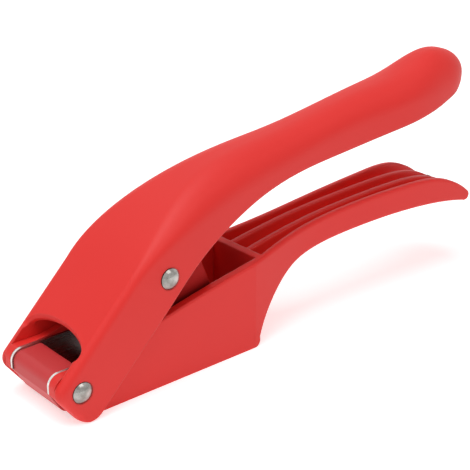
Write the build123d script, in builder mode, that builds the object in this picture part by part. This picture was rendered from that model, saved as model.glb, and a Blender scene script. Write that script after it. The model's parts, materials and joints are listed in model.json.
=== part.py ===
from build123d import *

import os
from math import cos, hypot, radians, sin, tan

# Garlic press: two moulded plastic levers riveted together at the nose, a plunger hung in the
# upper one, and a perforated steel basket in the lower one.
# World frame: +X from the nose to the handle tips, +Y across, +Z up, standing on z = 0.
# Side views are drawn from the nose hinge axis: first number to the rear, second number up.

os.makedirs("parts", exist_ok=True)

# ---------------------------------------------------------------- driving dimensions, mm
HINGE_HEIGHT = 11.5                            # hinge axis above the table
NOSE_REACH = 8.2                               # hinge axis to the foremost point
TIP_REACH = 188.1                              # hinge axis to the rearmost point
HINGE_X = (NOSE_REACH - TIP_REACH) / 2         # centres the press on the origin

HOOD_WIDTH = 35.5
HOOD_WALL = 3.2                                # the hood's two sides
HOOD_TOP_WALL = 2.5
TRAY_WIDTH = 28.7                              # slides between the hood's sides
TRAY_WALL = 3.1
BASKET_WIDTH = 22.4
SHEET = 1.0                                    # steel thickness
SPACER_WIDTH = 20.2
PLUNGER_WIDTH = 19.6

PIN_R = 2.0
RUNNING_R = 2.05                               # bore of a piece that turns on a pin
SEAT_R = 2.02                                  # bore of a piece that carries a pin
HEAD_R = 3.45
HEAD_RISE = 1.5
RECESS_R = 3.7
RECESS_DEPTH = 0.4
HEAD_GAP = 0.05                                # head to recess floor
SPIGOT_R = 1.2                                 # reduced pin end inside the far head
SPIGOT_LENGTH = 1.0

# The hood is a straight band, rising at 45 degrees, with a blunt rounded nose.
BAND_TOP = 7.4                                 # upper and lower faces, square to the band
BAND_BOTTOM = -11.42
BAND_END = 33.0                                # where the lever's free form starts
CHIN = -7.15                                   # chin line, where it crosses the band's axis
CHIN_LEAN = tan(radians(8))
NOSE_R = 4.2
BOSS_R = 6.0
RIDGE_R = 2.8
MOUTH_LEGS = 8.5                               # the mouth's straight sides end here
MOUTH_ARCH = 5.4
LIP_DEPTH = 1.2                                # bevel round the mouth
LIP_FLARE = 40                                 # degrees

PLUNGER_PIN = (34.3, 27.6)                     # side view
PLUNGER_TILT = 21.4                            # degrees, in the pose drawn
FOOT_FRONT = -15.8
FOOT_REAR = 17.0
FOOT_DROP = 27.2                               # pin to pressing face
PIN_BOSS_R = 4.5
PIN_BOSS_GAP = 0.2

SIEVE_CORNER = (29.0, -9.3)                    # inside front corner of the basket's pocket
SIEVE_SLOPE = 15.0
SIEVE_LENGTH = 34.6
REAR_LIP = 5.5
BASKET_TOP = 5.5
HOLE_R = 1.0
HOLE_PITCH = 3.3

TRAY_SKIN = 1.9
BULKHEAD_X = 75.5
BULKHEAD = 2.4
RAIL_INNER = 8.9
GROOVE_FLOOR = 2.2
GRIP_WALL = 2.4
RIB = 2.0
RIM_R = 0.8                                    # outer edges of the lower handle's walls
EDGE_R = 0.8                                   # rear edges of the plunger

FAR = 100.0                                    # beyond any face it cuts through

SIDE = Plane(origin=(HINGE_X, 0, HINGE_HEIGHT), x_dir=(1, 0, 0), z_dir=(0, -1, 0))
BAND = Plane(origin=(HINGE_X, 0, HINGE_HEIGHT), x_dir=(1, 0, 1), z_dir=(0, -1, 0))
MOUTH = Plane(origin=(HINGE_X, 0, HINGE_HEIGHT), x_dir=(1, 0, 1), z_dir=(-1, 0, 1))
PLAN = Plane(origin=(HINGE_X, 0, 0))


def tilted(point, angle):
    """Side-view plane whose origin is a side-view point and whose x axis rises by angle."""
    origin = SIDE.from_local_coords((point[0], point[1], 0))
    return Plane(origin=origin, x_dir=(cos(radians(angle)), 0, sin(radians(angle))), z_dir=(0, -1, 0))


PRESS = tilted(PLUNGER_PIN, PLUNGER_TILT)
SIEVE = tilted(SIEVE_CORNER, SIEVE_SLOPE)


def side_view(plane, x, y):
    """Side-view coordinates of a point given in another side-view plane."""
    point = SIDE.to_local_coords(plane.from_local_coords((x, y, 0)))
    return (point.X, point.Y)


def channel(width, height, across, up, below=0.0):
    """Upright section with square feet; each elliptical shoulder measures across by up."""
    half = width / 2
    flat = half - across
    shoulder = height - up
    with BuildSketch() as section:
        with BuildLine():
            Line((-half, -below), (half, -below))
            Line((half, -below), (half, shoulder))
            EllipticalCenterArc((flat, shoulder), across, up, start_angle=0, arc_size=90)
            Line((flat, height), (-flat, height))
            EllipticalCenterArc((-flat, shoulder), across, up, start_angle=90, arc_size=90)
            Line((-half, shoulder), (-half, -below))
        make_face()
    return section.sketch


def cross_plane(rim, crown):
    """Plane across the lever: x along world Y, y from the rim to the crown."""
    rise = hypot(crown[0] - rim[0], crown[1] - rim[1])
    lean = (crown[0] - rim[0]) / rise
    up = (crown[1] - rim[1]) / rise
    origin = SIDE.from_local_coords((rim[0], rim[1], 0))
    return Plane(origin=origin, x_dir=(0, 1, 0), z_dir=(up, 0, -lean))


# ---------------------------------------------------------------- upper handle
# Stations along the lever: rim, crown, width, shoulder radius, wall.
BAND_STATIONS = [
    (side_view(BAND, s, BAND_BOTTOM), side_view(BAND, s, BAND_TOP), HOOD_WIDTH, RIDGE_R, HOOD_WALL)
    for s in (BAND_END, BAND_END + 6)
]
LEVER_STATIONS = BAND_STATIONS + [
    ((44.5, 27.6), (33.2, 41.8), 34.3, 5.5, 3.1),
    ((53.2, 33.0), (44.3, 48.7), 31.6, 8.5, 2.9),
    ((64.2, 38.0), (58.2, 54.4), 28.0, 10.5, 2.7),
    ((78.2, 43.0), (75.2, 58.0), 24.8, 10.6, 2.5),
    ((96.5, 46.6), (95.0, 60.4), 21.8, 9.6, 2.4),
    ((117.5, 48.5), (116.0, 63.8), 20.2, 9.0, 2.4),
    ((140.0, 51.0), (138.0, 67.4), 21.6, 9.7, 2.4),
    ((156.0, 53.3), (154.0, 70.4), 23.5, 11.0, 2.4),
]
# The rounded tip is egg-shaped: its sections shrink as powers of a cosine behind the base.
TIP_BASE = 171.7
TIP_CENTRE = 66.0
TIP_CROWN = 9.35
TIP_RIM = 9.7
TIP_WIDTH = 21.8
TIP_CROWN_POWER = 1.15
TIP_RIM_POWER = 1.75
TIP_ACROSS = 0.47                              # shoulder, as a share of the width
TIP_UP = 0.86                                  # shoulder, as a share of the height
TIP_ANGLES = (0, 22, 43, 60, 73, 83)


def tip_stations(wall):
    """Rim, crown and width of each section of the tip, inset by wall."""
    length = (TIP_REACH - TIP_BASE) / sin(radians(TIP_ANGLES[-1]))
    stations = []
    for angle in TIP_ANGLES:
        along = TIP_BASE + (length - wall) * sin(radians(angle))
        shrink = cos(radians(angle))
        rim = (along, TIP_CENTRE - TIP_RIM * shrink**TIP_RIM_POWER)
        crown = (along, TIP_CENTRE + (TIP_CROWN - wall) * shrink**TIP_CROWN_POWER)
        stations.append((rim, crown, (TIP_WIDTH - 2 * wall) * shrink))
    return stations


def nose_outline(deep):
    """Side view of the band and its nose, down to the depth given, in BAND's coordinates."""
    rear = BAND_END + BAND_BOTTOM - deep
    with BuildSketch() as outline:
        with BuildLine():
            Polyline(
                (rear, BAND_TOP),
                (CHIN + BAND_TOP * CHIN_LEAN, BAND_TOP),
                (CHIN + deep * CHIN_LEAN, deep),
                (rear, deep),
                close=True,
            )
        make_face()
        fillet(outline.vertices().sort_by(Axis.X)[0], BOSS_R)
        fillet(outline.vertices().group_by(Axis.Y)[-1].sort_by(Axis.X)[0], NOSE_R)
    return outline.sketch


with BuildPart() as hood:
    with BuildSketch(BAND):
        add(nose_outline(BAND_BOTTOM - 8))
    extrude(amount=HOOD_WIDTH / 2, both=True)
    fillet(hood.faces().filter_by(Axis.Y).edges(), RIDGE_R)
    with BuildSketch(BAND):
        add(nose_outline(BAND_BOTTOM))
    extrude(amount=HOOD_WIDTH, both=True, mode=Mode.INTERSECT)

with BuildPart() as lever:
    for rim, crown, width, shoulder, wall in LEVER_STATIONS:
        with BuildSketch(cross_plane(rim, crown)):
            add(channel(width, hypot(crown[0] - rim[0], crown[1] - rim[1]), shoulder, shoulder))
    for rim, crown, width in tip_stations(0):
        height = crown[1] - rim[1]
        with BuildSketch(cross_plane(rim, crown)):
            add(channel(width, height, TIP_ACROSS * width, TIP_UP * height))
    loft()

BELOW_RIM = 7.0                                # how far the hollow is drawn past the rim
LEVER_WALL = 2.4
INNER_R = 1.2                                  # least radius inside the hood

with BuildPart() as lever_hollow:
    for rim, crown, width, shoulder, wall in LEVER_STATIONS:
        inner_r = max(shoulder - wall, INNER_R)
        height = hypot(crown[0] - rim[0], crown[1] - rim[1]) - min(wall, HOOD_TOP_WALL)
        with BuildSketch(cross_plane(rim, crown)):
            add(channel(width - 2 * wall, height, inner_r, inner_r, BELOW_RIM))
    for rim, crown, width in tip_stations(LEVER_WALL):
        height = crown[1] - rim[1]
        with BuildSketch(cross_plane(rim, crown)):
            add(channel(width, height, TIP_ACROSS * width, TIP_UP * height, BELOW_RIM))
    loft()

with BuildPart() as hood_hollow:
    with BuildSketch(cross_plane(*LEVER_STATIONS[0][:2])):
        inner_height = BAND_TOP - BAND_BOTTOM - HOOD_TOP_WALL
        add(channel(HOOD_WIDTH - 2 * HOOD_WALL, inner_height, INNER_R, INNER_R, BELOW_RIM))
    extrude(amount=-FAR / 2)

with BuildPart() as upper_handle:
    add(hood.part)
    add(lever.part)
    add(hood_hollow.part, mode=Mode.SUBTRACT)
    add(lever_hollow.part, mode=Mode.SUBTRACT)
    # arched mouth over the nose, its lip bevelled
    mouth_half = HOOD_WIDTH / 2 - HOOD_WALL
    with BuildSketch(MOUTH.offset(BAND_TOP - HOOD_TOP_WALL - 1)):
        with Locations((MOUTH_LEGS, 0)):
            Rectangle(FAR, 2 * mouth_half, align=(Align.MAX, Align.CENTER))
            Ellipse(MOUTH_ARCH, mouth_half)
    extrude(amount=HOOD_TOP_WALL + 2, mode=Mode.SUBTRACT)
    with BuildSketch(MOUTH.offset(BAND_TOP - LIP_DEPTH)):
        with Locations((MOUTH_LEGS, 0)):
            Ellipse(MOUTH_ARCH, mouth_half)
    extrude(amount=LIP_DEPTH + 0.3, taper=-LIP_FLARE, mode=Mode.SUBTRACT)
    # inner bosses beside the plunger
    boss_end = PLUNGER_WIDTH / 2 + PIN_BOSS_GAP
    for side in (-1, 1):
        with BuildSketch(PRESS.offset(side * boss_end)):
            Circle(PIN_BOSS_R)
        extrude(amount=side * (HOOD_WIDTH / 2 - HOOD_WALL / 2 - boss_end))
    # bores and the seats of the rivet heads
    with BuildSketch(SIDE):
        Circle(RUNNING_R)
        with Locations(PLUNGER_PIN):
            Circle(SEAT_R)
    extrude(amount=HOOD_WIDTH, both=True, mode=Mode.SUBTRACT)
    for side in (-1, 1):
        with BuildSketch(SIDE.offset(side * HOOD_WIDTH / 2)):
            Circle(RECESS_R)
            with Locations(PLUNGER_PIN):
                Circle(RECESS_R)
        extrude(amount=-side * RECESS_DEPTH, mode=Mode.SUBTRACT)

upper_handle.part.label = "upper_handle"
export_step(upper_handle.part, "parts/upper_handle.step")


# ---------------------------------------------------------------- lower handle
TRAY_BOTTOM = -HINGE_HEIGHT
TRAY_INNER = TRAY_WIDTH / 2 - TRAY_WALL
SKIN_TOP = TRAY_BOTTOM + TRAY_SKIN
SKIN_START = 9.0
SKIN_END = 25.0
BULKHEAD_REAR = BULKHEAD_X + BULKHEAD
EAR_TOP = 5.6
EAR_FRONT = -7.9
EAR_CHIN = -0.6                                # the ears slope back from here to their toe
EAR_TOE = 0.35
EAR_R = 3.8
HEEL_R = 2.4                                   # the tray's rear bottom corner
HEEL_X = 75.5
UNDERSIDE = [
    (79.0, -1.1),
    (83.2, 4.6),
    (88.0, 9.2),
    (94.5, 13.2),
    (104.0, 15.8),
    (123.0, 17.7),
    (147.0, 18.6),
    (168.0, 17.8),
]
TIP_UNDER = (182.0, 15.5)
TIP_END = (185.1, 17.2)
TIP_UPPER = (184.2, 19.2)
TOP_EDGE = [
    (178.0, 23.5),
    (168.0, 27.4),
    (151.0, 28.5),
    (130.0, 27.7),
    (106.0, 25.6),
    (88.0, 23.0),
    (73.0, 20.3),
    (57.0, 17.5),
    (40.0, 14.0),
    (24.0, 10.4),
    (8.0, 6.4),
]
RIB_TOP = [(78.0, 20.9), (88.0, 22.7), (106.0, 25.2), (130.0, 26.9), (151.0, 27.5), (168.0, 26.2), (182.0, 20.3)]
# half widths in plan
WAIST = [
    (80.0, 13.2),
    (90.0, 11.4),
    (100.0, 10.3),
    (111.0, 10.0),
    (125.0, 10.35),
    (142.0, 11.35),
    (158.0, 12.7),
    (175.0, 13.9),
    (200.0, 14.4),
]
RIB_LINE = [(BULKHEAD_X, 4.3), (92.0, 3.9), (112.0, 3.6), (140.0, 3.6), (170.0, 4.0), (200.0, 4.6)]
RIBS_CLEAR = 6.0                               # half width that spans both ribs and no wall


def raised(points, lift):
    """The points moved up by lift."""
    return [(x, z + lift) for x, z in points]


def narrowed(points, wall):
    """The points moved towards the middle plane by wall."""
    return [(x, y - wall) for x, y in points]


with BuildPart() as grooves:
    # three long grooves between the grip's walls and its two ribs
    with BuildSketch(PLAN.offset(-5)):
        with BuildLine():
            inner_waist = [(BULKHEAD_REAR, TRAY_INNER)] + narrowed(WAIST, GRIP_WALL)
            Spline(*inner_waist)
            Polyline(inner_waist[-1], (inner_waist[-1][0], 0), (BULKHEAD_REAR, 0), inner_waist[0])
        make_face()
        with BuildLine():
            rib_outer = narrowed(RIB_LINE, -RIB / 2)
            rib_inner = narrowed(RIB_LINE, RIB / 2)
            Spline(*rib_outer)
            Spline(*rib_inner)
            Line(rib_outer[0], rib_inner[0])
            Line(rib_outer[-1], rib_inner[-1])
        make_face(mode=Mode.SUBTRACT)
        mirror(about=Plane.XZ)
    extrude(amount=FAR)
    with BuildSketch(SIDE):
        with BuildLine():
            floor = [(BULKHEAD_X - 1, -6.0)] + raised(UNDERSIDE, GROOVE_FLOOR) + [(200.0, 10.0)]
            Spline(*floor)
            Polyline(floor[-1], (200.0, FAR), (BULKHEAD_X - 1, FAR), floor[0])
        make_face()
    extrude(amount=HOOD_WIDTH, both=True, mode=Mode.INTERSECT)

with BuildPart() as lower_handle:
    with BuildSketch(PLAN.offset(-5)):
        with BuildLine():
            half = TRAY_WIDTH / 2
            Polyline((73.0, half), (-20.0, half), (-20.0, 0), (200.0, 0), WAIST[-1])
            Spline((73.0, half), *WAIST)
        make_face()
        mirror(about=Plane.XZ)
    extrude(amount=FAR)
    with BuildSketch(SIDE) as side_form:
        with BuildLine():
            toe_end = (4.0, TRAY_BOTTOM)
            heel_start = (HEEL_X - HEEL_R, TRAY_BOTTOM)
            heel_end = (HEEL_X, TRAY_BOTTOM + HEEL_R)
            Line(toe_end, heel_start)
            RadiusArc(heel_start, heel_end, -HEEL_R)
            Spline(heel_end, *UNDERSIDE, TIP_UNDER)
            ThreePointArc(TIP_UNDER, TIP_END, TIP_UPPER)
            Spline(TIP_UPPER, *TOP_EDGE)
            Polyline(TOP_EDGE[-1], (2.0, EAR_TOP), (EAR_FRONT, EAR_TOP), (EAR_FRONT, EAR_CHIN))
            Polyline((EAR_FRONT, EAR_CHIN), (EAR_TOE, TRAY_BOTTOM), toe_end)
        make_face()
        nose_corners = side_form.vertices().group_by(Axis.X)[0]
        fillet(nose_corners.sort_by(Axis.Y)[-1], EAR_R)
        fillet(side_form.vertices().filter_by_position(Axis.X, 0, 1), BOSS_R)
    extrude(amount=HOOD_WIDTH, both=True, mode=Mode.INTERSECT)
    # the outer edges above the table are rounded along both sides
    side_edges = lower_handle.edges().filter_by(lambda e: abs(e.center().Y) > RIBS_CLEAR)
    long_edges = side_edges.filter_by(lambda e: abs(e.tangent_at(0.5).Y) < 0.6)
    fillet(long_edges.filter_by(lambda e: e.center().Z > HINGE_HEIGHT + EAR_TOP), RIM_R)
    add(grooves.part, mode=Mode.SUBTRACT)
    # tray: open between the ears, over a skin, over the rails of the basket and behind it
    front_rail = side_view(SIEVE, -SHEET, -SHEET)
    rear_rail = side_view(SIEVE, SIEVE_LENGTH + SHEET, -SHEET)
    rear_stop = side_view(SIEVE, SIEVE_LENGTH + SHEET, 1.5)
    with BuildSketch(SIDE):
        Polygon(
            (-20, -20),
            (SKIN_START, -20),
            (SKIN_START, SKIN_TOP),
            (SKIN_END, SKIN_TOP),
            front_rail,
            rear_rail,
            rear_stop,
            (rear_stop[0] + 3, rear_stop[1]),
            (rear_stop[0] + 3, SKIN_TOP),
            (BULKHEAD_X, SKIN_TOP),
            (BULKHEAD_X, FAR),
            (-20, FAR),
            align=None,
        )
    extrude(amount=TRAY_INNER, both=True, mode=Mode.SUBTRACT)
    # way out below the sieve, between the rails
    with BuildSketch(SIDE):
        Polygon((SKIN_END, -20), (rear_stop[0], -20), (rear_stop[0], 10), (SKIN_END, 10), align=None)
    extrude(amount=RAIL_INNER, both=True, mode=Mode.SUBTRACT)
    # the ribs start level with the bulkhead and drop a little below the walls towards the tip
    with BuildSketch(SIDE):
        with BuildLine():
            Spline(*RIB_TOP)
            Polyline(RIB_TOP[-1], (RIB_TOP[-1][0], FAR), (RIB_TOP[0][0], FAR), RIB_TOP[0])
        make_face()
    extrude(amount=RIBS_CLEAR, both=True, mode=Mode.SUBTRACT)
    with BuildSketch(SIDE):
        Circle(SEAT_R)
    extrude(amount=HOOD_WIDTH, both=True, mode=Mode.SUBTRACT)

lower_handle.part.label = "lower_handle"
export_step(lower_handle.part, "parts/lower_handle.step")


# ---------------------------------------------------------------- sieve basket
with BuildPart() as sieve_basket:
    rear_lip = side_view(SIEVE, SIEVE_LENGTH + SHEET, REAR_LIP)
    with BuildSketch(SIDE) as plate:
        Polygon(
            (EAR_FRONT + 0.1, BASKET_TOP),
            (EAR_FRONT + 0.1, EAR_CHIN),
            (-1.05, SKIN_TOP + 0.1),
            (SKIN_END, SKIN_TOP + 0.1),
            front_rail,
            rear_rail,
            rear_lip,
            align=None,
        )
        nose_corners = plate.vertices().group_by(Axis.X)[0]
        fillet(nose_corners.sort_by(Axis.Y)[-1], EAR_R)
        fillet(plate.vertices().filter_by_position(Axis.X, -2, -1), BOSS_R - 1)
    extrude(amount=BASKET_WIDTH / 2, both=True)
    # the pocket, and the open stretch ahead of it
    with BuildSketch(SIEVE):
        Polygon((0, 0), (SIEVE_LENGTH, 0), (SIEVE_LENGTH, FAR), (0, FAR), align=None)
        Polygon((-SHEET, -FAR), (-SHEET, FAR), (-FAR, FAR), (-FAR, -FAR), align=None)
    extrude(amount=BASKET_WIDTH / 2 - SHEET, both=True, mode=Mode.SUBTRACT)
    # perforated floor
    with BuildSketch(Plane(origin=SIEVE.origin, x_dir=SIEVE.x_dir, z_dir=SIEVE.y_dir)):
        with Locations((SIEVE_LENGTH / 2, 0)):
            with HexLocations(HOLE_PITCH / 2, 9, 5):
                Circle(HOLE_R)
    extrude(amount=3, both=True, mode=Mode.SUBTRACT)
    with BuildSketch(SIDE):
        Circle(SEAT_R)
    extrude(amount=BASKET_WIDTH, both=True, mode=Mode.SUBTRACT)

sieve_basket.part.label = "sieve_basket"
export_step(sieve_basket.part, "parts/sieve_basket.step")


# ---------------------------------------------------------------- nose spacer
with BuildPart() as nose_spacer:
    with BuildSketch(SIDE) as barrel:
        Polygon(
            (-7.3, 4.9),
            (-7.3, -1.3),
            (-2.6, SKIN_TOP + 0.15),
            (4.0, SKIN_TOP + 0.15),
            (4.0, 4.9),
            align=None,
        )
        nose_corners = barrel.vertices().group_by(Axis.X)[0]
        fillet(nose_corners.sort_by(Axis.Y)[-1], EAR_R - 0.4)
        fillet(barrel.vertices().filter_by_position(Axis.X, -3, -1), BOSS_R - 2)
    extrude(amount=SPACER_WIDTH / 2, both=True)
    fillet(nose_spacer.edges().filter_by(Axis.Y).sort_by(Axis.X)[-2:], 1.6)
    with BuildSketch(SIDE):
        Circle(SEAT_R)
    extrude(amount=SPACER_WIDTH, both=True, mode=Mode.SUBTRACT)

nose_spacer.part.label = "nose_spacer"
export_step(nose_spacer.part, "parts/nose_spacer.step")


# ---------------------------------------------------------------- plunger
with BuildPart() as plunger:
    cheek_r = PIN_BOSS_R + 0.3
    with BuildSketch(PRESS) as press_side:
        Polygon(
            (FOOT_FRONT, -FOOT_DROP),
            (FOOT_REAR, -FOOT_DROP),
            (FOOT_REAR, -5.0),
            (2.0, cheek_r),
            (-cheek_r, 1.0),
            (FOOT_FRONT, -19.0),
            align=None,
        )
        fillet(press_side.vertices().sort_by(Axis.Y)[-2:], cheek_r * 0.7)
    extrude(amount=PLUNGER_WIDTH / 2, both=True)
    rear_face = plunger.faces().filter_by(lambda f: f.normal_at().dot(PRESS.x_dir) > 0.99)
    fillet(rear_face.edges().filter_by(lambda e: abs(e.tangent_at(0.5).Y) < 0.1), EDGE_R)
    # two pockets, open above, either side of a middle rib
    for side in (-1, 1):
        with BuildSketch(PRESS.offset(side * 1.2)):
            Polygon(
                (FOOT_FRONT + 2.6, -FOOT_DROP + 4),
                (FOOT_REAR - 2.4, -FOOT_DROP + 4),
                (FOOT_REAR - 2.4, 20),
                (-2.6, 20),
                (-2.6, 1.0),
                (FOOT_FRONT + 2.6, -19.8),
                align=None,
            )
        extrude(amount=side * (PLUNGER_WIDTH / 2 - 3.8), mode=Mode.SUBTRACT)
    with BuildSketch(PRESS):
        Circle(RUNNING_R)
    extrude(amount=PLUNGER_WIDTH, both=True, mode=Mode.SUBTRACT)

plunger.part.label = "plunger"
export_step(plunger.part, "parts/plunger.step")


# ---------------------------------------------------------------- rivets
SEAT = HOOD_WIDTH / 2 - RECESS_DEPTH + HEAD_GAP    # underside of each head, from the middle plane


def head_profile(spigot_hole):
    """Half section of a domed head: first number outward from the pin's axis, second along it."""
    dome_r = (HEAD_R**2 + HEAD_RISE**2) / (2 * HEAD_RISE)
    with BuildSketch() as profile:
        with BuildLine():
            skirt = (HEAD_R, RECESS_DEPTH)
            apex = (0, RECESS_DEPTH + HEAD_RISE)
            Polyline(apex, (0, 0), (HEAD_R, 0), skirt)
            RadiusArc(skirt, apex, -dome_r)
        make_face()
        if spigot_hole:
            with Locations((0, 0)):
                Rectangle(spigot_hole, SPIGOT_LENGTH + 0.05, align=(Align.MIN, Align.MIN), mode=Mode.SUBTRACT)
    return profile.sketch


def rivet_axis(point, side):
    """Plane at a head's seat: x outward from the axis, y along the axis away from the middle."""
    origin = SIDE.from_local_coords((point[0], point[1], -side * SEAT))
    return Plane(origin=origin, x_dir=(1, 0, 0), z_dir=(0, 0, side))


for name, centre in (("hinge_pin", (0, 0)), ("plunger_pin", PLUNGER_PIN)):
    near = rivet_axis(centre, -1)
    far = rivet_axis(centre, 1)
    turning = Axis(near.origin, (0, 1, 0))
    with BuildPart() as pin:
        with BuildSketch(near):
            add(head_profile(0))
        revolve(axis=turning)
        with BuildSketch(Plane(origin=near.origin, z_dir=(0, 1, 0))):
            Circle(PIN_R)
        extrude(amount=2 * SEAT)
        with BuildSketch(Plane(origin=far.origin, z_dir=(0, 1, 0))):
            Circle(SPIGOT_R)
        extrude(amount=SPIGOT_LENGTH)
    pin.part.label = name
    export_step(pin.part, f"parts/{name}.step")
    with BuildPart() as cap:
        with BuildSketch(far):
            add(head_profile(SPIGOT_R + 0.01))
        revolve(axis=turning)
    cap.part.label = f"{name}_cap"
    export_step(cap.part, f"parts/{name}_cap.step")
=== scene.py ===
# %% [markdown]
# A garlic press in red moulded plastic, with a steel sieve and steel rivets.
# The engineering model is loaded first and stays where it is: it gives the size and the place of
# every part. Blender then adds what the eye needs: finishes, edges, light and a camera.

# %% Load the fixed model
import json

import bpy
from math import radians
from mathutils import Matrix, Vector


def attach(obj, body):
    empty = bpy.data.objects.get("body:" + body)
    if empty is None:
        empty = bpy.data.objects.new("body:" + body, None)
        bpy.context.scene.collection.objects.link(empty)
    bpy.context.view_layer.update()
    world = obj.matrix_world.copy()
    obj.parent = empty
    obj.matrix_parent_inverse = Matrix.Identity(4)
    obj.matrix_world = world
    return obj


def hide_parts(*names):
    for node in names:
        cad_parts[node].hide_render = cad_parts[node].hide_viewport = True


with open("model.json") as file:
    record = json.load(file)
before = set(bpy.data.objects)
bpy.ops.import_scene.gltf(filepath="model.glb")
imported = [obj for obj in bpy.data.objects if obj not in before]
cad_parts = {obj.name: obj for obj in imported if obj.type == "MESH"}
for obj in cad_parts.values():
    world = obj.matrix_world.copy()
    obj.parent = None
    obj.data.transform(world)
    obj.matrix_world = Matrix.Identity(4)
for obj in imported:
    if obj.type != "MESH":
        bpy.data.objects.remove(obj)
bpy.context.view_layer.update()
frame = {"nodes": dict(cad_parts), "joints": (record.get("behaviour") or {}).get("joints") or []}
nodes = frame["nodes"]
MM = 0.001
print("parts:", ", ".join(sorted(nodes)))

# %% [markdown]
# Where things are is read from the loaded parts where that can be done. The nose hinge is the joint
# that carries the upper handle, so its position is in the joint list. The camera is placed from it.

# %% The nose hinge
joints = {joint["name"]: joint for joint in frame["joints"]}
HINGE = Vector(joints["handle_hinge"]["pos_m"])
print("nose hinge", [round(v / MM, 1) for v in HINGE], "mm")

# %% [markdown]
# Colours are written as the hex values that a colour chart shows. Blender shades in linear light,
# so each one is converted by the sRGB curve before it reaches a shader.

# %% Colour helper


def linear(hex_colour):
    """An sRGB hex colour as linear RGBA. The numbers are those of the sRGB standard."""
    values = [int(hex_colour[i : i + 2], 16) / 255 for i in (1, 3, 5)]
    curve = [v / 12.92 if v <= 0.04045 else ((v + 0.055) / 1.055) ** 2.4 for v in values]
    return (*curve, 1.0)


WHITE = linear("#FFFFFF")
print("signal red, linear:", [round(v, 3) for v in linear("#E2413B")])

# %% [markdown]
# A node material is a small graph. One helper adds a node, sets its properties and inputs, and
# links inputs to other nodes' outputs, so each material below reads as a list of its nodes.

# %% Node helper


def add_node(material, kind, inputs=None, **settings):
    """Adds one shader node. An input is a value, or an output socket to link."""
    tree = material.node_tree
    node = tree.nodes.new(kind)
    for name, value in settings.items():
        setattr(node, name, value)
    for name, value in (inputs or {}).items():
        if isinstance(value, bpy.types.NodeSocket):
            tree.links.new(value, node.inputs[name])
        else:
            node.inputs[name].default_value = value
    return node


def new_material(name):
    """An empty node material with its output, and the output node."""
    material = bpy.data.materials.new(name)
    material.use_nodes = True
    material.node_tree.nodes.clear()
    output = add_node(material, "ShaderNodeOutputMaterial")
    return material, output


# %% [markdown]
# Light and shade are painted into the colour of the hollows here. The steel, the spacer and the
# plunger are painted darker in their hollows: painted shade, where little light gets in. The bright
# handles are painted a purer, lighter red in theirs: painted light, for light that goes from wall
# to wall. Ambient occlusion measures how closed in a surface is, and this mixes two colours by it.
# With own_walls_only, the floor and other parts don't count as walls.

# %% Painted light and shade in hollows
OCCLUSION_SAMPLES = 8


def paint_light_and_shade_in_hollows(material, painted_hollow_colour, in_the_open, reach, own_walls_only=False):
    """Painted light and shade: goes to the hollow colour where walls stand within reach, else to
    in_the_open.
    """
    openness = add_node(
        material,
        "ShaderNodeAmbientOcclusion",
        {"Distance": reach},
        samples=OCCLUSION_SAMPLES,
        only_local=own_walls_only,
    )
    # Light and shade painted into the colour: the hollow colour where walls close in.
    mix = add_node(
        material,
        "ShaderNodeMix",
        {"Factor": openness.outputs["AO"], "A": painted_hollow_colour, "B": in_the_open},
        data_type="RGBA",
    )
    return mix.outputs["Result"]


# %% [markdown]
# Corners of a moulding lose their colour first: they are rubbed, and the plastic is paler where it
# is thin. The pale line is also a painted highlight, the thin bright line that a corner catches. A
# Bevel node gives the direction a rounded corner would face. The dot product of that direction and
# the real face's is 1 where they agree and falls at a corner, and there the colour goes pale.

# %% Pale corners: wear and painted highlight
CORNER_STARTS_AT = 0.97
CORNER_IS_FULL_AT = 0.75
CORNER_SAMPLES = 6


def pale_at_corners(material, colour, pale, width, amount):
    """A colour that goes towards pale within width of a sharp corner, by amount at most."""
    rounded = add_node(material, "ShaderNodeBevel", {"Radius": width}, samples=CORNER_SAMPLES)
    face = add_node(material, "ShaderNodeNewGeometry")
    agreement = add_node(
        material,
        "ShaderNodeVectorMath",
        {0: rounded.outputs["Normal"], 1: face.outputs["Normal"]},
        operation="DOT_PRODUCT",
    )
    corner = add_node(
        material,
        "ShaderNodeMapRange",
        {
            "Value": agreement.outputs["Value"],
            "From Min": CORNER_STARTS_AT,
            "From Max": CORNER_IS_FULL_AT,
            "To Min": 0.0,
            "To Max": amount,
        },
    )
    # Wear and painted highlight: the colour goes pale at corners.
    mix = add_node(
        material,
        "ShaderNodeMix",
        {"Factor": corner.outputs["Result"], "A": colour, "B": pale},
        data_type="RGBA",
    )
    return mix.outputs["Result"]


# %% [markdown]
# All the plastic is glass-filled nylon. Two reds that differ a little flow into each other over
# about 30 mm, as pigment does when a moulding fills. Light and shade are painted into that colour
# in the hollows, and a pale line about 0.4 mm wide along each corner is wear and painted highlight.

# %% The red of the nylon
FLOW_LENGTH = 30 * MM
FLOW_DETAIL = 3.0
NYLON_HOLLOW_REACH = 10 * MM
CORNER_LINE = 0.4 * MM
CORNER_AMOUNT = 0.5
# The pale red of corners: rubbing wear and painted highlight.
RUBBED_AND_HIGHLIGHT_RED = linear("#F5746A")


def nylon_colour(material, place, colour, deep, painted_hollow_colour, own_walls_only):
    """The colour of a nylon moulding at place: its flow, painted light and shade in hollows, pale
    corners.
    """
    flow = add_node(
        material,
        "ShaderNodeTexNoise",
        {"Vector": place, "Scale": 1 / FLOW_LENGTH, "Detail": FLOW_DETAIL},
    )
    tint = add_node(
        material,
        "ShaderNodeMix",
        {"Factor": flow.outputs["Fac"], "A": linear(deep), "B": linear(colour)},
        data_type="RGBA",
    )
    # Painted light and shade in the hollows of the moulding.
    skin = paint_light_and_shade_in_hollows(
        material, linear(painted_hollow_colour), tint.outputs["Result"], NYLON_HOLLOW_REACH, own_walls_only
    )
    return pale_at_corners(material, skin, RUBBED_AND_HIGHLIGHT_RED, CORNER_LINE, CORNER_AMOUNT)


print("flow of the red over", round(FLOW_LENGTH / MM), "mm")

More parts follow.
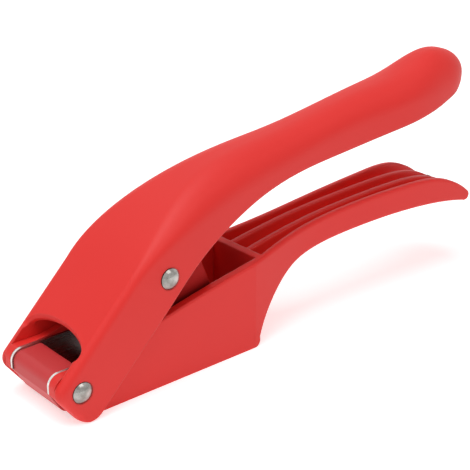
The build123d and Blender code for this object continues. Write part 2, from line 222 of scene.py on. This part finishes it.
# %% [markdown]
# A mould leaves its own skin on the plastic, and no corner of it is knife-sharp. The skin is a fine
# noise in a Bump node. The corners are rounded by a Bevel node, which turns the shading and leaves
# the mesh alone. On this press they are softer at the grip, which a hand closes on, than at the
# nose, so the radius grows along the press, from 0.6 to 1.6 mm.

# %% The skin of the nylon
NOSE_ROUNDING = 0.6 * MM
GRIP_ROUNDING = 1.6 * MM
ROUNDING_GROWS_FROM = -20 * MM
ROUNDING_GROWS_TO = -5 * MM
ROUNDING_SAMPLES = 8
SKIN_DETAIL = 2.0
SKIN_STRENGTH = 0.12
SKIN_DEPTH = 0.05 * MM


def nylon_skin(material, place, grain):
    """The direction that a nylon moulding shades by, with its grain and its rounded corners."""
    noise = add_node(
        material, "ShaderNodeTexNoise", {"Vector": place, "Scale": 1 / grain, "Detail": SKIN_DETAIL}
    )
    along = add_node(material, "ShaderNodeSeparateXYZ", {"Vector": place})
    rounding = add_node(
        material,
        "ShaderNodeMapRange",
        {
            "Value": along.outputs["X"],
            "From Min": ROUNDING_GROWS_FROM,
            "From Max": ROUNDING_GROWS_TO,
            "To Min": NOSE_ROUNDING,
            "To Max": GRIP_ROUNDING,
        },
    )
    edges = add_node(
        material,
        "ShaderNodeBevel",
        {"Radius": rounding.outputs["Result"]},
        samples=ROUNDING_SAMPLES,
    )
    relief = add_node(
        material,
        "ShaderNodeBump",
        {
            "Height": noise.outputs["Fac"],
            "Strength": SKIN_STRENGTH,
            "Distance": SKIN_DEPTH,
            "Normal": edges.outputs["Normal"],
        },
    )
    return relief.outputs["Normal"]


print("corner radius", NOSE_ROUNDING / MM, "to", GRIP_ROUNDING / MM, "mm")

# %% [markdown]
# The handles were moulded against a finely spark-eroded steel cavity. That leaves a matte skin: an
# even red, a broad soft highlight, and a grain of about 0.25 mm that is only just seen. It is drawn
# at 0.4 mm here, a little coarse, so that it shows at all. The spacer and the plunger come from
# plainer moulds, and the spacer has a duller red. The plunger's deeper red is painted shade, for
# the shade it sits in under the hood, and the plunger has the least gloss.

# %% Moulded nylon
NYLON_IOR = 1.53


def moulded_nylon(name, colour, deep, painted_hollow_colour, own_walls_only, roughness, grain, gloss):
    """Moulded nylon. grain is the spacing of its skin in metres, gloss its specular level."""
    material, output = new_material(name)
    coordinates = add_node(material, "ShaderNodeTexCoord")
    place = coordinates.outputs["Object"]
    shader = add_node(
        material,
        "ShaderNodeBsdfPrincipled",
        {
            "Base Color": nylon_colour(material, place, colour, deep, painted_hollow_colour, own_walls_only),
            "Roughness": roughness,
            "IOR": NYLON_IOR,
            "Specular IOR Level": gloss,
            "Normal": nylon_skin(material, place, grain),
        },
    )
    material.node_tree.links.new(shader.outputs["BSDF"], output.inputs["Surface"])
    return material


handle_nylon = moulded_nylon(
    "red_nylon_spark_eroded",
    colour="#E42B25",
    deep="#DF2722",
    # Painted light: the hollows are painted this lighter red, for light going from wall to wall.
    painted_hollow_colour="#FF3226",
    own_walls_only=True,
    roughness=0.52,
    grain=0.4 * MM,
    gloss=0.38,
)
insert_nylon = moulded_nylon(
    "red_nylon_plain_mould",
    colour="#C9383A",
    deep="#C23335",
    # Painted shade: the hollows are painted this darker red.
    painted_hollow_colour="#BE2024",
    own_walls_only=True,
    roughness=0.50,
    grain=0.6 * MM,
    gloss=0.38,
)
plunger_nylon = moulded_nylon(
    "red_nylon_darkened_for_shade",
    # Painted shade: a deeper red than the handles for the shade under the hood, near black in
    # hollows.
    colour="#B81C1A",
    deep="#AC1917",
    painted_hollow_colour="#420404",
    own_walls_only=False,
    roughness=0.55,
    grain=0.5 * MM,
    gloss=0.12,
)
print("nylon:", handle_nylon.name, insert_nylon.name, plunger_nylon.name)

# %% [markdown]
# Steel that has been worked has a direction or a mottle, and that is what tells it from grey paint.
# The sieve is stamped from 1 mm stainless sheet, brushed along its length before it was pressed:
# noise stretched 40 times along X. Real brush lines are finer than 0.1 mm, so they are drawn 0.3 mm
# apart to show at all. The rivets were tumbled, which has no direction, and dulled in patches.
# The brush lines change the roughness and the relief, and the patches change the tone.

# %% Stainless steel
BRUSH_SPACING = 0.3 * MM
BRUSH_STRENGTH = 0.08
BRUSH_DEPTH = 0.02 * MM
ROUGHNESS_SPREAD = 0.06
PATCH_DETAIL = 3.0
PATCH_CONTRAST = (0.35, 0.65)
# Painted shade: steel goes to this dark brown where walls close it in, as inside the sieve.
STEEL_PAINTED_SHADE = linear("#2B1613")


def stainless(name, colour, dull, roughness, stretch, patch, reach):
    """Stainless steel. stretch: how much longer than wide its brush lines are. patch: in metres."""
    material, output = new_material(name)
    coordinates = add_node(material, "ShaderNodeTexCoord")
    place = coordinates.outputs["Object"]
    lines = add_node(
        material, "ShaderNodeMapping", {"Vector": place, "Scale": (1 / stretch, 1.0, 1.0)}
    )
    brush = add_node(
        material,
        "ShaderNodeTexNoise",
        {"Vector": lines.outputs["Vector"], "Scale": 1 / BRUSH_SPACING},
    )
    spread = add_node(
        material,
        "ShaderNodeMapRange",
        {
            "Value": brush.outputs["Fac"],
            "To Min": roughness - ROUGHNESS_SPREAD,
            "To Max": roughness + ROUGHNESS_SPREAD,
        },
    )
    relief = add_node(
        material,
        "ShaderNodeBump",
        {"Height": brush.outputs["Fac"], "Strength": BRUSH_STRENGTH, "Distance": BRUSH_DEPTH},
    )
    patches = add_node(
        material,
        "ShaderNodeTexNoise",
        {"Vector": place, "Scale": 1 / patch, "Detail": PATCH_DETAIL},
    )
    contrast = add_node(
        material,
        "ShaderNodeMapRange",
        {
            "Value": patches.outputs["Fac"],
            "From Min": PATCH_CONTRAST[0],
            "From Max": PATCH_CONTRAST[1],
        },
    )
    tone = add_node(
        material,
        "ShaderNodeMix",
        {"Factor": contrast.outputs["Result"], "A": linear(dull), "B": linear(colour)},
        data_type="RGBA",
    )
    shader = add_node(
        material,
        "ShaderNodeBsdfPrincipled",
        {
            # Painted shade in the hollows of the steel.
            "Base Color": paint_light_and_shade_in_hollows(material, STEEL_PAINTED_SHADE, tone.outputs["Result"], reach),
            "Metallic": 1.0,
            "Roughness": spread.outputs["Result"],
            "Normal": relief.outputs["Normal"],
        },
    )
    material.node_tree.links.new(shader.outputs["BSDF"], output.inputs["Surface"])
    return material


sheet_steel = stainless(
    "stainless_sheet_brushed",
    colour="#EAE9E7",
    dull="#DAD9D6",
    roughness=0.28,
    stretch=40,
    patch=8 * MM,
    reach=22 * MM,
)
rivet_steel = stainless(
    "stainless_rivet_tumbled",
    colour="#B4B2AE",
    dull="#86837E",
    roughness=0.20,
    stretch=1,
    patch=2.8 * MM,
    reach=1.5 * MM,
)
print("steel:", sheet_steel.name, rivet_steel.name)

# %% [markdown]
# Each part of the engineering model keeps its mesh and takes its finish through its own slot.

# %% Finishes on the parts
FINISHES = {
    "upper_handle": handle_nylon,
    "lower_handle": handle_nylon,
    "plunger": plunger_nylon,
    "nose_spacer": insert_nylon,
    "sieve_basket": sheet_steel,
    "hinge_pin": rivet_steel,
    "hinge_pin_cap": rivet_steel,
    "plunger_pin": rivet_steel,
    "plunger_pin_cap": rivet_steel,
}
for node_name, material in FINISHES.items():
    part = nodes[node_name]
    part.data.materials.clear()
    part.data.materials.append(material)
print("finished parts:", len(FINISHES))

# %% [markdown]
# The lever's free end is an egg that swells past the palm, and its open underside is drawn in where
# the side walls meet the end. The engineering solid is a little full at those two corners. A new
# end could be modelled and joined on, but the change is only about 1 mm, so the moulding is copied
# and its corners are moved. An engineering mesh is loose triangles, so its points are joined first.

# %% A copy of the upper handle
MERGE_DISTANCE = 0.002 * MM
bpy.ops.object.select_all(action="DESELECT")
lever = bpy.data.objects.new("lever_moulding", nodes["upper_handle"].data.copy())
bpy.context.scene.collection.objects.link(lever)
bpy.context.view_layer.objects.active = lever
lever.select_set(True)
bpy.ops.object.mode_set(mode="EDIT")
bpy.ops.mesh.select_mode(type="VERT")
bpy.ops.mesh.select_all(action="SELECT")
bpy.ops.mesh.remove_doubles(threshold=MERGE_DISTANCE)
bpy.ops.mesh.select_all(action="DESELECT")
bpy.ops.object.mode_set(mode="OBJECT")
print("lever copy:", len(lever.data.vertices), "points")

# %% [markdown]
# The points of both corners are chosen by their place in millimetres: near the end, well out to
# either side, and low down.

# %% The two corners of the free end
CORNER_FROM_X, CORNER_TO_X = 87.5, 92.0
CORNER_OUTSIDE_Y = 8.6
CORNER_BELOW_Z = 70.6
for vertex in lever.data.vertices:
    x, y, z = vertex.co / MM
    in_length = CORNER_FROM_X < x < CORNER_TO_X
    vertex.select = in_length and abs(y) > CORNER_OUTSIDE_Y and z < CORNER_BELOW_Z
print("corner points:", sum(vertex.select for vertex in lever.data.vertices))

# %% [markdown]
# The corners are drawn up and in by proportional moves, as one pulls soft clay: the chosen points
# go furthest and their neighbours within 13 mm follow less and less, so no dent is left. The
# narrowing is about the press's own middle plane, which runs through the origin. The old shading
# directions no longer fit then, so they are cleared and the copy is shaded smooth.

# %% Draw the corners in
DRAW_UP_AND_BACK = (-0.5 * MM, 0, 1.1 * MM)
NARROWING = (1.0, 0.95, 1.0)
SHARP_FROM = radians(35)
LIKE_CLAY = {
    "use_proportional_edit": True,
    "proportional_edit_falloff": "SMOOTH",
    "proportional_size": 13 * MM,
}
bpy.ops.object.mode_set(mode="EDIT")
bpy.ops.transform.translate(value=DRAW_UP_AND_BACK, **LIKE_CLAY)
bpy.ops.transform.resize(value=NARROWING, center_override=(0, 0, 0), **LIKE_CLAY)
bpy.ops.object.mode_set(mode="OBJECT")
bpy.ops.mesh.customdata_custom_splitnormals_clear()
bpy.ops.object.shade_smooth_by_angle(angle=SHARP_FROM)
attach(lever, "upper")
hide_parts("upper_handle")
print("the lever moulding rides on the upper body")

# %% [markdown]
# The press is shown on pure white, but more light on it would bleach its red. So the white is for
# the eye alone: the Light Path node tells a ray that is seen, or mirrored in the steel, from one
# that only carries light, and the two get different strengths.

# %% White for the eye and for mirrors


def seen_or_mirrored(material, lighting, seen):
    """A strength that is seen for the eye and in mirrors or glass, and lighting for all else."""
    path = add_node(material, "ShaderNodeLightPath")
    direct = add_node(
        material,
        "ShaderNodeMath",
        {0: path.outputs["Is Camera Ray"], 1: path.outputs["Is Glossy Ray"]},
        operation="MAXIMUM",
    )
    either = add_node(
        material,
        "ShaderNodeMath",
        {0: direct.outputs["Value"], 1: path.outputs["Is Transmission Ray"]},
        operation="MAXIMUM",
    )
    strength = add_node(
        material,
        "ShaderNodeMapRange",
        {"Value": either.outputs["Value"], "To Min": lighting, "To Max": seen},
    )
    return strength.outputs["Result"]


# %% [markdown]
# The floor is a sheet of white paper on a light table. It glows a little, which lifts the sides and
# the undersides as a white table does, and it keeps the press's soft shadow. Away from the middle
# the lamps fade, so the seen glow rises there and the sheet stays white to its edge.

# %% White paper
GLOW_AS_LIGHT = 0.38
GLOW_SEEN_IN_MIDDLE = 0.55
GLOW_SEEN_FAR_OUT = 1.0
GLOW_RISES_FROM = 200 * MM
GLOW_RISES_TO = 1000 * MM
paper, paper_output = new_material("white_paper_sweep")
paper_diffuse = add_node(paper, "ShaderNodeBsdfDiffuse", {"Color": linear("#F4F4F4")})
paper_place = add_node(paper, "ShaderNodeTexCoord")
from_middle = add_node(
    paper, "ShaderNodeVectorMath", {0: paper_place.outputs["Object"]}, operation="LENGTH"
)
paper_white = add_node(
    paper,
    "ShaderNodeMapRange",
    {
        "Value": from_middle.outputs["Value"],
        "From Min": GLOW_RISES_FROM,
        "From Max": GLOW_RISES_TO,
        "To Min": GLOW_SEEN_IN_MIDDLE,
        "To Max": GLOW_SEEN_FAR_OUT,
    },
)
glow_strength = seen_or_mirrored(paper, GLOW_AS_LIGHT, paper_white.outputs["Result"])
paper_glow = add_node(paper, "ShaderNodeEmission", {"Color": WHITE, "Strength": glow_strength})
paper_lit = add_node(paper, "ShaderNodeAddShader")
paper.node_tree.links.new(paper_diffuse.outputs["BSDF"], paper_lit.inputs[0])
paper.node_tree.links.new(paper_glow.outputs["Emission"], paper_lit.inputs[1])
paper.node_tree.links.new(paper_lit.outputs["Shader"], paper_output.inputs["Surface"])
print("paper nodes:", len(paper.node_tree.nodes))

# %% [markdown]
# The sheet lies level under the press. It is 6 m wide, so that no edge comes into view.

# %% Floor
FLOOR_WIDTH = 6.0
bpy.ops.object.select_all(action="DESELECT")
bpy.ops.mesh.primitive_plane_add(size=FLOOR_WIDTH, location=(0, 0, 0))
floor = bpy.context.object
floor.name = "floor"
floor.data.materials.append(paper)
print("floor", floor.dimensions.x, "m wide")

# %% [markdown]
# Most of the light comes from one large softbox above. Two weaker ones, low on the nose side and
# high on the near side, keep the nose and the ribs of the grip from going dark. Their levels are
# plain: a colour on the upper faces comes out about as it is written.

# %% Lights
LIT_POINT = (0, 0, 0.03)


def softbox(name, place, size, power):
    """A square area light at place, facing the press. size is in metres, power in watts."""
    lamp = bpy.data.lights.new(name, "AREA")
    lamp.size = size
    lamp.energy = power
    box = bpy.data.objects.new(name, lamp)
    bpy.context.scene.collection.objects.link(box)
    box.location = place
    towards_press = Vector(LIT_POINT) - Vector(place)
    box.rotation_euler = towards_press.to_track_quat("-Z", "Y").to_euler()


softbox("overhead", (-0.30, 0.05, 1.10), size=0.9, power=8.0)
softbox("left", (-0.95, -0.50, 0.50), size=0.5, power=1.4)
softbox("front", (0.10, -0.75, 0.95), size=0.6, power=2.6)
print("lights:", [light.name for light in bpy.data.lights])

# %% [markdown]
# The room fills in from all round. It is white to the eye, and gives about a fifth of that as
# light. The Standard view shows each colour as it was worked out, with no film curve on top.

# %% White room
ROOM_AS_LIGHT = 0.19
ROOM_SEEN = 1.0
room = bpy.data.worlds.new("white_room")
bpy.context.scene.world = room
room.use_nodes = True
room_light = room.node_tree.nodes["Background"]
room_light.inputs["Color"].default_value = WHITE
room_strength = seen_or_mirrored(room, ROOM_AS_LIGHT, ROOM_SEEN)
room.node_tree.links.new(room_strength, room_light.inputs["Strength"])
bpy.context.scene.view_settings.view_transform = "Standard"
print("room:", room.name)

# %% [markdown]
# The camera stands in front of the nose and above it, to the side of the near rivets, with a
# portrait lens, so that the press runs away from the eye and its lines converge a little.

# %% Camera
CAMERA_FROM_HINGE = Vector((-167.5, -283.3, 182.9)) * MM
CAMERA_AIM = Vector((0.60048, 0.69883, -0.38867))
FOCAL_LENGTH_MM = 90.44
SENSOR_WIDTH_MM = 36.0
lens = bpy.data.cameras.new("camera")
lens.lens = FOCAL_LENGTH_MM
lens.sensor_width = SENSOR_WIDTH_MM
camera = bpy.data.objects.new("camera", lens)
bpy.context.scene.collection.objects.link(camera)
camera.location = HINGE + CAMERA_FROM_HINGE
camera.rotation_euler = CAMERA_AIM.to_track_quat("-Z", "Y").to_euler()
bpy.context.scene.camera = camera
print("camera at", [round(v, 3) for v in camera.location])
